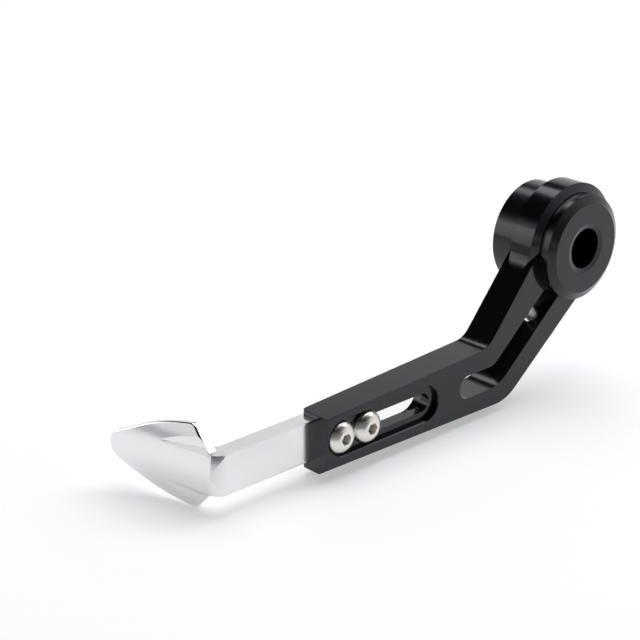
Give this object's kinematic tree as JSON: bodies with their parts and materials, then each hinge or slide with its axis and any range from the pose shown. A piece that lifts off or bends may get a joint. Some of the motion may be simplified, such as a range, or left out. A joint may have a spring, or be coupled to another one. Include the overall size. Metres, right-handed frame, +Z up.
{
  "type": "brake lever guard",
  "caption": "Bar-end brake lever guard: hub bolted to the handlebar end, split clamp arm that turns on it, and a bent blade that slides in the arm.",
  "frame": {"origin": "on the eye axis, at the hub's rear seat face, which meets the end of the handlebar", "axes": "+Y along the eye axis towards the grip, -X along the arm's lower section towards the blade, +Z up"},
  "size_m": [0.1583, 0.0455, 0.0622],
  "materials": {
    "black_hub": "black anodised, satin turned",
    "black_arm": "black anodised, satin milled",
    "bright_tip": "silver anodised, fine satin",
    "screw_steel": "plain stainless"
  },
  "bodies": {
    "hub": {"hub": "black_hub"},
    "arm": {"arm": "black_arm", "pinch_screw": "screw_steel"},
    "tip": {"tip": "bright_tip", "tip_screws": "screw_steel"}
  },
  "joints": [
    {"name": "arm_turn", "type": "hinge", "parent": "hub", "child": "arm", "pos_m": [0, 0, 0], "axis": [0, 1, 0], "continuous": true},
    {"name": "tip_slide", "type": "slide", "parent": "arm", "child": "tip", "axis": [1, 0, 0], "range_m": [0, 0.0219]}
  ]
}
